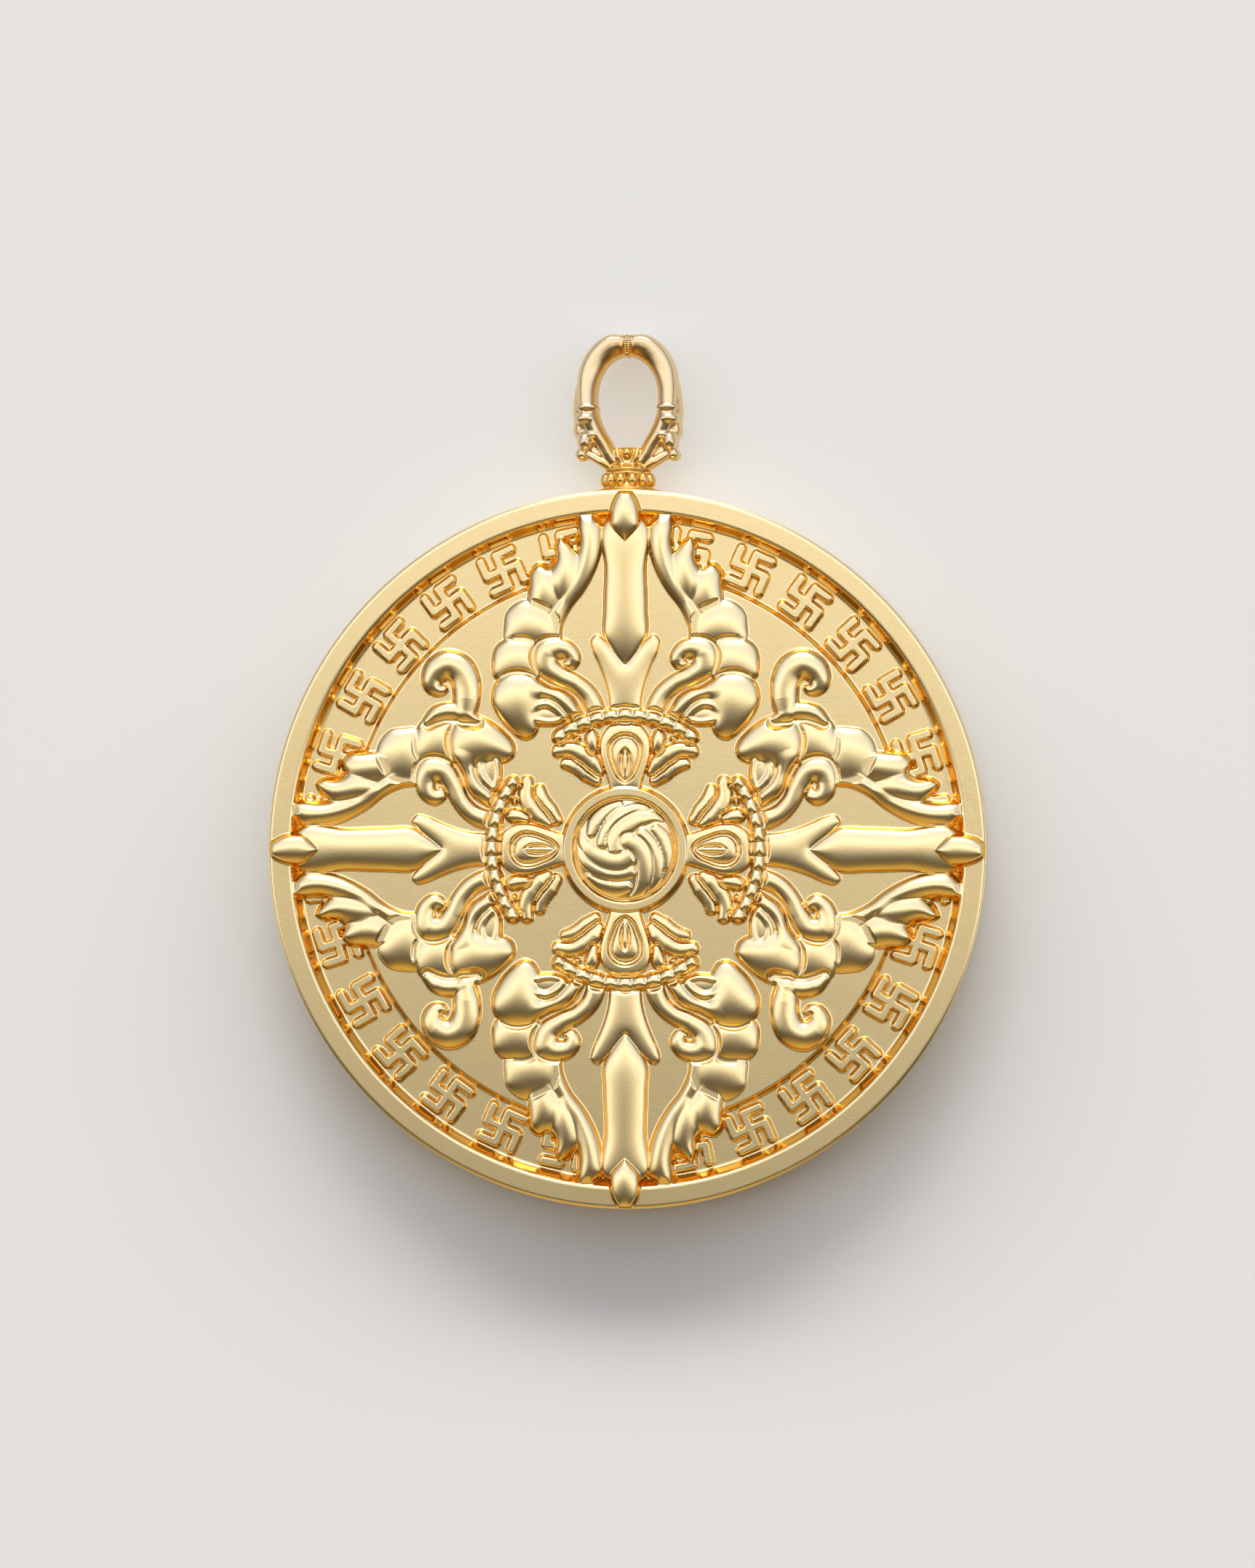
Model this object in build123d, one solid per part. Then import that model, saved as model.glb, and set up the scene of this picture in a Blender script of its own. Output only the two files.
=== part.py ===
from build123d import *
import os
from math import cos, pi, radians, sin, sqrt

# Round gold pendant, 36 mm across: a hollow case, a struck relief plate set in it, a beaded collar
# and a polished bail. It lies on its back: +Z is the way its face looks and +Y runs to the bail.
# The origin is the centre of the case's flat back.

# Case, mm
DISC_D = 36.0  # over the case's side wall
CASE_H = 3.8  # from the back face to the top of the lip
BACK_T = 0.8  # back wall
SIDE_T = 1.1  # side wall below the ledge
LIP_T = 0.2  # thin lip round the face plate
EDGE_R = 0.45  # rounding of the back edge

# Face plate, mm
PLATE_GAP = 0.05  # clearance between plate and lip
PLATE_T = 0.75  # metal left under the sunk band
RIM_PROUD = 0.1  # rim above the lip
RIM_W = 0.8  # flat top of the rim
RIM_ROUND = 0.12  # rounding of the rim's outer edge
BAND_DRAFT = 0.45  # width of the rim's sloping inner wall
BAND_W = 2.45  # floor of the sunk band
BAND_DEPTH = 0.6  # rim top to band floor
FIELD_DRAFT = 0.15  # width of the field's sloping edge
FIELD_STEP = 0.45  # band floor up to the central field

# Ornaments in the sunk band, mm
MANJI_COUNT = 30
MANJI_SIZE = 2.2
MANJI_STROKE = 0.5
MANJI_H = 0.2
MANJI_ROUND = 0.2

# Heights of the relief above the central field, mm
PRONG_W = 2.1  # round bar on each arm's axis
FORK_H = 0.55
FLAME_H = 0.75
CLOUD_H = 0.95
SCROLL_W = 0.95
PETAL_H = 0.4
BEAD_H = 0.5
LEDGE_H = 0.2
HUB_RING_H = 0.55
HUB_DOME_H = 0.75
STRAND_H = 0.22  # whirl strands above the hub's dome
PETAL_GROOVE = 0.25
SINK = 0.1  # overlap of the relief's feet with the plate below them
RELIEF_DRAFT = 14.0  # degrees, on struck walls

# Beads
ARC_BEADS = 11  # on each beaded arc
COLLAR_BEADS = 12

# Bail and collar, mm
BAIL_W = 5.58  # over the leaves
BAIL_H = 6.9  # from the collar to the top
BAIL_D = 2.6  # depth at the leaves
EYE_W = 3.08  # egg-shaped eye for the chain
EYE_H = 4.5
EYE_UP = 1.16  # from the collar to the eye
NECK_D = 2.42
POST_D = 0.8
POST_GAP = 0.05  # clearance round the post
POST_COVER = 0.2  # metal between the post's hole and the ledge
COLLAR_D = 2.84  # over the beads
COLLAR_BEAD_D = 0.57
COLLAR_H = 1.0  # case to bail
SADDLE_W = 4.0
SADDLE_T = 0.15
SADDLE_EDGE = 0.3  # case left bare below the saddle
SEAT_GAP = 0.04  # clearance between case, collar and bail

# Worked out from the above
disc_r = DISC_D / 2
ledge_r = disc_r - SIDE_T
plate_r = disc_r - LIP_T - PLATE_GAP
rim_z = CASE_H + RIM_PROUD
band_z = rim_z - BAND_DEPTH
field_z = band_z + FIELD_STEP
plate_z = band_z - PLATE_T
ledge_z = plate_z - PLATE_GAP
rim_in_r = plate_r - RIM_W
band_out_r = rim_in_r - BAND_DRAFT
band_in_r = band_out_r - BAND_W
field_r = band_in_r - FIELD_DRAFT
manji_r = (band_out_r + band_in_r) / 2
unit = disc_r / 18  # the relief's tables are in eighteenths of the disc's radius
foot_z = band_z - SINK  # what stands in the band starts here
bail_z = ledge_z - POST_COVER - POST_D / 2
collar_y = disc_r + SEAT_GAP
bail_y = disc_r + COLLAR_H + SEAT_GAP


def at(s, r, z=0.0):
    """Point of an arm: s sideways and r outwards in eighteenths of the disc's radius, z in mm."""
    return Vector(s * unit, r * unit, z)


def arc_face(rows, z):
    """Face bounded by arcs and lines. Rows hold a corner, then a point on its arc or None for a line."""
    corners = rows[::2]
    area = sum(a[0] * b[1] - b[0] * a[1] for a, b in zip(corners, corners[1:] + corners[:1]))
    if area < 0:  # walls lean inwards only on an outline that runs counter-clockwise
        rows = rows[:1] + rows[:0:-1]
    edges = []
    for i in range(0, len(rows), 2):
        start, middle, end = rows[i], rows[i + 1], rows[(i + 2) % len(rows)]
        if middle:
            edges.append(ThreePointArc(at(*start, z), at(*middle, z), at(*end, z)))
        else:
            edges.append(Line(at(*start, z), at(*end, z)))
    return make_face(edges)


def shrunk(rows, middle_r, share):
    """Rows of an outline drawn in towards a middle on the arm's axis."""
    return [(s * share, middle_r + (r - middle_r) * share) for s, r in rows]


def struck(face, height, draft=RELIEF_DRAFT):
    """Flat-topped relief with drafted walls, its foot sunk a little in the plate."""
    return Pos(0, 0, -SINK) * extrude(face, amount=height + SINK, dir=(0, 0, 1), taper=draft)


def cap(s, r, radius, height, base_z):
    """Dome of a given foot radius and height, its foot sunk a little in the plate."""
    foot = radius * unit
    ball_r = (foot**2 + height**2) / (2 * height)
    middle = (foot / 2, height - ball_r + sqrt(ball_r**2 - foot**2 / 4))
    outline = Polyline((0, height), (0, -SINK), (foot, -SINK), (foot, 0)).edges()
    outline += [ThreePointArc((foot, 0), middle, (0, height))]
    return Pos(*at(s, r, base_z)) * revolve(Plane.XZ * make_face(outline), Axis.Z)


def tube(rows, width, z):
    """Round scroll through arcs that run on smoothly from the first, with ball ends."""
    path = [ThreePointArc(*[at(*row, z) for row in rows[:3]])]
    for row in rows[3:]:
        path.append(TangentArc(path[-1] @ 1, at(*row, z), tangent=path[-1] % 1))
    wire = Wire(path)
    section = Plane(wire @ 0, z_dir=wire % 0) * Circle(width / 2)
    ends = [Pos(*(wire @ t)) * Sphere(width / 2) for t in (0, 1)]
    return sweep(section, path=wire) + ends


def both_sides(shapes):
    return shapes + [mirror(shape, about=Plane.YZ) for shape in shapes]


def turned(shapes, count):
    """Each shape at count equal steps about the axis."""
    return [Rot(0, 0, 360 * k / count) * shape for k in range(count) for shape in shapes]


# Outlines and lumps of one half of an arm, in eighteenths of the disc's radius
LONG_FLAME = [(3.2, 10.7), (3.0, 11.9), (2.05, 13.1), (1.25, 14.4), (1.25, 16.1), (1.5, 16.6), (2.1, 17.0),
              (2.35, 16.0), (2.4, 14.9), (2.9, 13.2), (3.9, 11.4), (3.6, 10.9)]
SECOND_FLAME = [(2.5, 13.4), (2.4, 14.5), (2.8, 15.25), (3.15, 15.5), (3.5, 15.4), (3.55, 14.6),
                (4.0, 13.6), (4.1, 12.4), (3.9, 11.4), (3.2, 12.3)]
THIRD_FLAME = [(3.7, 12.0), (3.55, 13.2), (3.9, 14.1), (4.4, 14.3), (4.85, 14.0), (5.0, 13.2),
               (4.9, 12.4), (4.3, 12.0)]
FORK = [(-0.75, 7.0), None, (0.75, 7.0), (1.15, 9.1), (1.75, 10.4), (1.5, 10.7), (1.15, 10.25), None,
        (0.0, 9.2), None, (-1.15, 10.25), (-1.5, 10.7), (-1.75, 10.4), (-1.15, 9.1)]
CLOUD_LUMPS = [  # s, r, foot radius, share of the cloud's height
    (5.15, 11.35, 0.95, 0.85),
    (4.1, 11.4, 0.8, 0.8),
    (5.65, 9.5, 1.0, 0.9),
    (4.9, 9.9, 0.85, 0.8),
    (5.35, 7.35, 1.4, 1.0),
    (5.15, 6.1, 0.7, 0.75),
    (4.1, 7.2, 0.75, 0.7),
    (3.1, 7.1, 0.6, 0.6),
]
SCROLL = [(1.5, 6.95), (1.95, 7.85), (2.75, 8.4), (3.55, 8.75), (4.1, 9.5), (3.45, 10.1), (2.75, 9.6)]
CURL = [(8.1, 7.3), (8.12, 8.0), (8.15, 8.6), (9.0, 9.35), (9.85, 8.5), (9.6, 8.0)]
CURL_LEAF = [(9.9, 6.55), (9.2, 6.8), (8.5, 6.75), (7.9, 6.6)]
TEARDROP = [(0.0, 2.95), (0.9, 3.4), (1.25, 4.9), (1.0, 6.0), (0.0, 6.35), (-1.0, 6.0), (-1.25, 4.9),
            (-0.9, 3.4)]
TEARDROP_R = 4.75  # middle of the teardrop
TEARDROP_RINGS = (1.0, 0.75, 0.58)  # shares of its outline: frame, groove, middle
BUD = (1.55, 5.4, 0.33, 0.6)  # s, r, half width, half length
UPPER_LEAF = [(1.3, 4.2), (2.15, 4.9), (3.3, 5.0)]
LOWER_LEAF = [(1.35, 3.55), (2.2, 4.1), (3.1, 4.4)]
LEAF_W = 0.7
BEAD_ARC = (1.0, 5.8, 36.0)  # centre r, radius, half angle in degrees
LEDGE_W = 0.9
BEAD_W = 0.62
PRONG_FOOT, PRONG_TOP = 9.3, 16.2
BUD_TIP = [(0.0, 15.4), (0.62, 15.75), (0.87, 16.45), (0.8, 17.3), (0.35, 17.98)]  # half width, r
HUB_RING = (3.2, 2.85, 2.55)  # outer radius, groove, dome
STRANDS = [  # three arcs of the whirl about the hub's centre
    [(-0.6, -0.1), (-0.1, 1.15), (1.85, 1.6)],
    [(-1.15, 0.2), (-0.75, 1.55), (1.05, 2.05)],
    [(-1.8, 0.75), (-1.5, 1.6), (-0.7, 2.15)],
]
STRAND_W = 0.6

# Bail: a point on the eye and the one facing it on the outline, as shares of half the width and of the
# height of the eye and of the bail, and the depth there as a share of the bail's
BAIL_ROWS = [
    ((0.0, 1.0), (0.0, 0.987), 0.65),
    ((0.55, 0.933), (0.54, 0.934), 0.75),
    ((0.877, 0.789), (0.86, 0.748), 0.85),
    ((1.0, 0.58), (0.94, 0.56), 0.95),
    ((0.955, 0.378), (0.975, 0.386), 1.0),
    ((0.747, 0.178), (0.88, 0.21), 0.95),
    ((0.487, 0.04), (0.573, 0.055), 0.85),
    ((0.13, -0.05), (0.2, 0.01), 0.7),
]
BAIL_BALLS = [  # leaf lobes: x and y as shares of the bail's half width and height, radius of its width
    (0.82, 0.12, 0.059),
    (0.76, 0.215, 0.085),
    (0.865, 0.3, 0.066),
    (0.84, 0.43, 0.079),
]
CUP_ROWS = [(1.0, 0.0), (0.95, 0.12), (0.7, 0.53), (0.5, 0.82), (0.42, 1.0)]  # radius in half necks, height


def case():
    """Cup with a ledge for the face plate and a hole in its side for the bail's post."""
    body = extrude(Circle(disc_r), amount=CASE_H)
    body = fillet(body.faces().sort_by(Axis.Z)[0].edges(), EDGE_R)
    body -= Pos(0, 0, BACK_T) * extrude(Circle(ledge_r), amount=CASE_H)
    body -= Pos(0, 0, ledge_z) * extrude(Circle(disc_r - LIP_T), amount=CASE_H)
    return body - post_hole(ledge_r - SIDE_T, 3 * SIDE_T)


def plate_blank():
    """Turned blank of the face plate: rim, sunk band and central field."""
    profile = Polyline(
        (0, plate_z), (plate_r, plate_z), (plate_r, rim_z - RIM_ROUND), (plate_r - RIM_ROUND, rim_z),
        (rim_in_r, rim_z), (band_out_r, band_z), (band_in_r, band_z), (field_r, field_z), (0, field_z),
        close=True,
    )
    return revolve(make_face(Plane.XZ * profile), Axis.Z)


def manji():
    """One ornament of the band: a cross whose four ends turn clockwise, with rounded corners."""
    half = (MANJI_SIZE - MANJI_STROKE) / 2
    bar = Rectangle(MANJI_STROKE, MANJI_SIZE)
    hook = Pos(half / 2, half) * Rectangle(half + MANJI_STROKE, MANJI_STROKE)
    flat = bar + Rot(0, 0, 90) * bar + [Rot(0, 0, -90 * k) * hook for k in range(4)]
    outer = flat.vertices().filter_by(lambda v: max(abs(v.X), abs(v.Y)) > half)
    flat = fillet(outer, MANJI_ROUND)
    return Pos(0, manji_r, band_z - SINK) * extrude(flat, amount=MANJI_H + SINK)


def prong():
    """Round bar on an arm's axis in its fork, with a bud over the rim."""
    radius = PRONG_W / 2
    foot, top = PRONG_FOOT * unit + radius, PRONG_TOP * unit
    bar = extrude(Plane(origin=(0, foot, field_z), z_dir=(0, 1, 0)) * Circle(radius), amount=top - foot)
    bar += Pos(0, foot, field_z) * Sphere(radius)
    bar -= extrude(Circle(disc_r), amount=foot_z)
    side = [at(*row) for row in BUD_TIP]
    outline = Wire([
        ThreePointArc(*side[:3]),
        ThreePointArc(*side[2:]),
        Line(side[4], (0, side[4].Y)),
        Line((0, side[4].Y), side[0]),
    ])
    over_lip = extrude(Circle(disc_r + SIDE_T) - Circle(plate_r), amount=CASE_H + PLATE_GAP)
    bud = Pos(0, 0, rim_z) * revolve(Face(outline), Axis.Y) - over_lip
    return [bar, bud, struck(arc_face(FORK, field_z), FORK_H)]


def half_arm():
    """Flames, cloud lumps and scroll on one side of an arm."""
    flame = band_z  # flames stand on the band's floor and rise out of the field
    shapes = [
        struck(arc_face(LONG_FLAME, flame), FIELD_STEP + FLAME_H),
        struck(arc_face(SECOND_FLAME, flame), FIELD_STEP + 0.8 * FLAME_H),
        struck(arc_face(THIRD_FLAME, flame), FIELD_STEP + 0.65 * FLAME_H),
        tube(SCROLL, SCROLL_W, field_z),
    ]
    shapes += [cap(s, r, radius, share * CLOUD_H, field_z) for s, r, radius, share in CLOUD_LUMPS]
    return shapes


def curl():
    """Curl with its leaf, between two arms."""
    return [tube(CURL, SCROLL_W, field_z), tube(CURL_LEAF, 0.8 * SCROLL_W, field_z)]


def petal_group():
    """Grooved teardrop, buds and leaves, and the beaded arc outside them."""
    outlines = [shrunk(TEARDROP, TEARDROP_R, share) for share in TEARDROP_RINGS]
    rim, groove, middle = [arc_face(outline, field_z) for outline in outlines]
    teardrop = struck(rim, PETAL_H) - Pos(0, 0, PETAL_H - PETAL_GROOVE) * extrude(groove, amount=PETAL_H)
    teardrop += struck(middle, PETAL_H)
    side = []
    for rows in (UPPER_LEAF, LOWER_LEAF):
        middle_line = ThreePointArc(*[at(*row) for row in rows])
        side.append(Pos(0, 0, field_z) * struck(SlotArc(middle_line, LEAF_W * unit), PETAL_H))
    bud = Pos(*at(BUD[0], BUD[1], field_z)) * Ellipse(BUD[2] * unit, BUD[3] * unit)
    side.append(struck(bud, PETAL_H))
    return [teardrop] + both_sides(side)


def beaded_arc():
    """Row of beads on a ledge, round the outer end of a petal group."""
    centre, radius, half_angle = BEAD_ARC

    def on_arc(share):
        angle = radians(half_angle * share)
        return radius * sin(angle), centre + radius * cos(angle)

    line = ThreePointArc(*[at(*on_arc(share)) for share in (-1, 0, 1)])
    ledge = Pos(0, 0, field_z) * extrude(SlotArc(line, LEDGE_W * unit), amount=LEDGE_H)
    places = [on_arc(2 * k / (ARC_BEADS - 1) - 1) for k in range(ARC_BEADS)]
    return [ledge] + [cap(s, r, BEAD_W / 2, BEAD_H - LEDGE_H, field_z + LEDGE_H) for s, r in places]


def hub():
    """Ring with a groove and a dome that carries the three-fold whirl."""
    outer, groove = HUB_RING[0] * unit, HUB_RING[1] * unit
    inside = Pos(0, 0, field_z) * extrude(Circle(groove), amount=HUB_RING_H)
    ring = struck(Pos(0, 0, field_z) * Circle(outer), HUB_RING_H) - inside
    centre = cap(0, 0, HUB_RING[2], HUB_DOME_H, field_z)
    cover = cap(0, 0, HUB_RING[2], HUB_DOME_H + STRAND_H, field_z)
    raised = []
    for rows in STRANDS:
        line = ThreePointArc(*[at(*row) for row in rows])
        strand = extrude(SlotArc(line, STRAND_W * unit), amount=HUB_DOME_H + STRAND_H)
        raised.append(cover & Pos(0, 0, field_z) * strand)
    return [ring, centre] + turned(raised, 3)


def band_angles():
    """Turns of the band's ornaments, without those that a prong and its flames cover."""
    step = 360 / MANJI_COUNT
    turns = [step * (k + 0.5) for k in range(MANJI_COUNT)]
    return [turn for turn in turns if abs((turn + 45) % 90 - 45) > step / 2]


def fused(shapes):
    return shapes[0].fuse(*shapes[1:])


def face_plate():
    """Struck plate in one piece with its relief."""
    quarter = fused(prong() + both_sides(half_arm()) + petal_group() + beaded_arc())
    upper_curls = both_sides(curl())
    curls = upper_curls + [mirror(shape, about=Plane.XZ) for shape in upper_curls]
    ornament = manji()
    ornaments = [Rot(0, 0, turn) * ornament for turn in band_angles()]
    return fused([plate_blank(), fused(hub())] + turned([quarter], 4) + curls + ornaments)


def on_bail_axis(y):
    """Plane across the bail's axis at a height y, with its own x along the part's."""
    return Plane(origin=(0, y, bail_z), x_dir=(1, 0, 0), z_dir=(0, 1, 0))


def post_hole(y, length):
    return extrude(on_bail_axis(y) * Circle(POST_D / 2 + POST_GAP), amount=length)


def saddle():
    """Thin flange that fits the case's round side."""
    half = SADDLE_W / 2
    side = sqrt(collar_y**2 - half**2)
    under = ThreePointArc((-half, side), (0, collar_y), (half, side))
    over = ThreePointArc((-half, side), (0, collar_y + SADDLE_T), (half, side))
    outline = on_bail_axis(side - SADDLE_T) * Ellipse(half, bail_z - SADDLE_EDGE)
    return extrude(make_face([under, over]), amount=2 * bail_z) & extrude(outline, amount=SADDLE_W)


def bail_collar():
    """Saddle flange and seat ring with beads round it, bored for the post."""
    bead_r = COLLAR_BEAD_D / 2
    ring_r = COLLAR_D / 2 - bead_r
    low, top = collar_y + SADDLE_T / 2, bail_y - SEAT_GAP
    core = extrude(on_bail_axis(low) * Circle(ring_r), amount=top - low)
    side = ThreePointArc((0, collar_y + SADDLE_T), (bead_r, (collar_y + SADDLE_T + top) / 2), (0, top))
    bead = revolve(make_face([side, Line(side @ 1, side @ 0)]), Axis.Y)
    beads = []
    for k in range(COLLAR_BEADS):
        turn = radians(360 * (k + 0.5) / COLLAR_BEADS)
        beads.append(Pos(ring_r * sin(turn), 0, bail_z + ring_r * cos(turn)) * bead)
    return saddle() + core + beads - post_hole(disc_r, 2 * COLLAR_H)


def horn():
    """One half of the loop, from the top to the cup, with its leaf lobes in front and behind."""
    half_w, eye_y = BAIL_W / 2, bail_y + EYE_UP
    sections = []
    for (eye_x, eye_up), (out_x, out_up), depth in BAIL_ROWS:
        inner = Vector(-eye_x * EYE_W / 2, eye_y + eye_up * EYE_H, bail_z)
        outer = Vector(-out_x * half_w, bail_y + out_up * BAIL_H, bail_z)
        across = outer - inner
        plane = Plane(origin=(inner + outer) / 2, x_dir=across, z_dir=across.cross(Vector(0, 0, 1)))
        sections.append(plane * Ellipse(across.length / 2, depth * BAIL_D / 2))
    lobes = []
    for x, y, radius in BAIL_BALLS:
        for side in (-1, 1):
            place = Pos(-x * half_w, bail_y + y * BAIL_H, bail_z + side * BAIL_D / 4)
            lobes.append(place * Sphere(radius * BAIL_W))
    return loft(sections) + lobes


def bail():
    """Loop of two horns that meet at the top, with leaf ends, lotus cup and hidden post."""
    left = horn()
    profile = [(0, 0)] + [(r * NECK_D / 2, y * EYE_UP) for r, y in CUP_ROWS] + [(0, EYE_UP)]
    cup = Pos(0, bail_y, bail_z) * revolve(make_face(Polyline(*profile, close=True)), Axis.Y)
    post_y = ledge_r + POST_GAP
    post = extrude(on_bail_axis(post_y) * Circle(POST_D / 2), amount=bail_y + EYE_UP / 2 - post_y)
    return left + [mirror(left, about=Plane.YZ), cup, post]


os.makedirs("parts", exist_ok=True)
for build in (case, face_plate, bail_collar, bail):
    export_step(build(), f"parts/{build.__name__}.step")
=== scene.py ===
import bpy
import math
import numpy as np
from mathutils import Matrix, Vector


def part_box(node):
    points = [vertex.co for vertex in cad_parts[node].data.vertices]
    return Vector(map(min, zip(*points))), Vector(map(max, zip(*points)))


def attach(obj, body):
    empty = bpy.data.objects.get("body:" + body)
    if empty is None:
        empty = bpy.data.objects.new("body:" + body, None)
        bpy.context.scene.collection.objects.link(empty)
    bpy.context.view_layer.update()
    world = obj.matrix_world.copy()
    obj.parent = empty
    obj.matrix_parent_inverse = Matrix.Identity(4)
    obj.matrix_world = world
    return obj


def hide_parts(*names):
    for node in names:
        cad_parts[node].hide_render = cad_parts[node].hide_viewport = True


# Round gold pendant lying on its back on a pale surface: a struck relief plate in a turned case,
# a beaded collar and a polished bail. Lengths are in millimetres until a mesh is made.
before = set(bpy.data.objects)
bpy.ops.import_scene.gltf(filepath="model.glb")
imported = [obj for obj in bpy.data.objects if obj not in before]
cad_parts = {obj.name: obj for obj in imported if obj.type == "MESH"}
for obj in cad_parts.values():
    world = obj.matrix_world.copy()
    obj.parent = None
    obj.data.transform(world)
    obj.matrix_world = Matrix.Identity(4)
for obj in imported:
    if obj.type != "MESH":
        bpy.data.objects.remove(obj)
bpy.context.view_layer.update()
MM = 0.001

# Sizes taken from the frame
case_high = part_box("case")[1] / MM
plate_low, plate_high = (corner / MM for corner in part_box("face_plate"))
bail_low, bail_high = (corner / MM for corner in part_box("bail"))
collar_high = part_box("bail_collar")[1] / MM
DISC_R = case_high.x
CASE_H = case_high.z
PLATE_Z = plate_low.z
RELIEF_TOP = plate_high.z
COLLAR_TOP = collar_high.y
BAIL_Z = (bail_low.z + bail_high.z) / 2

# Turned profile of the face plate
LIP_GAP = 0.25  # lip of the case and the fine gap inside it
PLATE_R = DISC_R - LIP_GAP
RIM_Z = CASE_H + 0.1
RIM_IN_R = PLATE_R - 0.8
RIM_OVER = 0.2  # how far the rim reaches out over the lip
RIM_ROUND = 0.13  # width of the rim's rounded edge
RIM_DROP = 0.07  # how far that edge goes down
BAND_OUT_R = RIM_IN_R - 0.42
BAND_IN_R = BAND_OUT_R - 2.48
BAND_MID_R = (BAND_OUT_R + BAND_IN_R) / 2
BAND_Z = RIM_Z - 0.6
FIELD_R = BAND_IN_R - 0.16
FIELD_Z = BAND_Z + 0.45
WALL_SOFT = 0.03  # how far a wall's rounding reaches past its foot and its top

# Mesh of the struck face
RINGS = 306
EVEN_R = 16.9  # the rings stand evenly up to here, and the outer ones spread to the rim's edge
HAIR = 0.01  # least step from one level to the next
LIP_CLEAR = 0.05  # gap between the rim and the case's lip under it
GENTLE, GENTLE_TO_STEEP = 0.82, 0.35  # normal's upward part on a gentle slope, and its fall to a steep one

# Relief
STEEP = 2.6  # slope on which a lump goes on down outside its outline
SKIRT = 0.6  # how far outside its outline it does so
FOOT = 0.18  # blend where a lump meets the field
CREASE = 0.05  # blend where two lumps meet
LIP_REACH = 0.1  # how far outside a lump its undercut stays level
DEEP_GROUND = -2.0  # ground of a relief that is laid over another
NOWHERE = -9.0  # height and depth at points that a ridge doesn't reach
SPINE_STEPS = 6  # points along a spine from one row to the next
MANJI_COUNT = 30
MANJI_ARM = 0.83  # centre to the middle of a hook
MANJI_HALF = 0.28  # half stroke at the foot
MANJI_TOP = 0.17  # half stroke on the flat top
MANJI_H = 0.3


def smooth_line(rows, closed=False, steps=8):
    """Smooth line through the first two values of each row; a row marked "sharp" keeps a corner."""
    points = np.array([row[:2] for row in rows], float)
    sharp = np.array([row[-1] == "sharp" for row in rows])[:, None]
    ahead = np.roll(points, -1, axis=0) - points
    behind = np.roll(ahead, 1, axis=0)
    if not closed:
        ahead[-1] = behind[-1]
        behind[0] = ahead[0]
    far = np.linalg.norm(ahead, axis=1)[:, None]
    near = np.linalg.norm(behind, axis=1)[:, None]
    mean = (near * ahead / far + far * behind / near) / (far + near)
    leave = np.where(sharp, ahead / far, mean)
    arrive = np.where(sharp, behind / near, mean)
    t = np.linspace(0, 1, steps, endpoint=False)[:, None]
    line = []
    for k in range(len(points) if closed else len(points) - 1):
        n = (k + 1) % len(points)
        line.append((2 * t**3 - 3 * t**2 + 1) * points[k] + (3 * t**2 - 2 * t**3) * points[n]
                    + far[k] * ((t**3 - 2 * t**2 + t) * leave[k] + (t**3 - t**2) * arrive[n]))
    if not closed:
        line.append(points[-1:])
    return np.vstack(line)


def along_spine(rows):
    """Smooth line along rows, and each further value of the rows at its points."""
    line = smooth_line([row[:2] for row in rows], steps=SPINE_STEPS)
    at = np.arange(len(line)) / SPINE_STEPS
    return line, *(np.interp(at, np.arange(len(rows)), column) for column in list(zip(*rows))[2:])


def highest(a, b, blend):
    """The higher of two surfaces, with the crease between them rounded."""
    near = np.maximum(blend - np.abs(a - b), 0) / blend
    return np.maximum(a, b) + near * near * blend / 4


def eased(t):
    """Smooth step from 0 to 1."""
    t = np.clip(t, 0, 1)
    return t * t * (3 - 2 * t)


def near_rows(x, y, points, reach):
    """Which of the places x, y lie in the box about some points, widened by a reach."""
    low, high = points.min(axis=0) - reach, points.max(axis=0) + reach
    return np.flatnonzero((x > low[0]) & (x < high[0]) & (y > low[1]) & (y < high[1]))


def depth_inside(outline, x, y):
    """Depth inside a closed outline: it grows at a slope of 1 from the edge and crowns in the middle.
    It is the mean over all directions of one over the distance to the outline, turned over."""
    area = np.sum(outline[:, 0] * np.roll(outline[:, 1], -1) - outline[:, 1] * np.roll(outline[:, 0], -1))
    total = np.zeros(len(x))
    for (ax, ay), (bx, by) in zip(outline, np.roll(outline, -1, axis=0)):
        px, py, qx, qy = ax - x, ay - y, bx - x, by - y
        p, q = np.hypot(px, py) + 1e-6, np.hypot(qx, qy) + 1e-6
        total += (1 / p + 1 / q) * (px * qy - py * qx) / (p * q + px * qx + py * qy + 1e-7)
    total *= math.copysign(1, area)
    return 2 / np.where(np.abs(total) < 1e-4, -1e-4, total)


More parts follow.
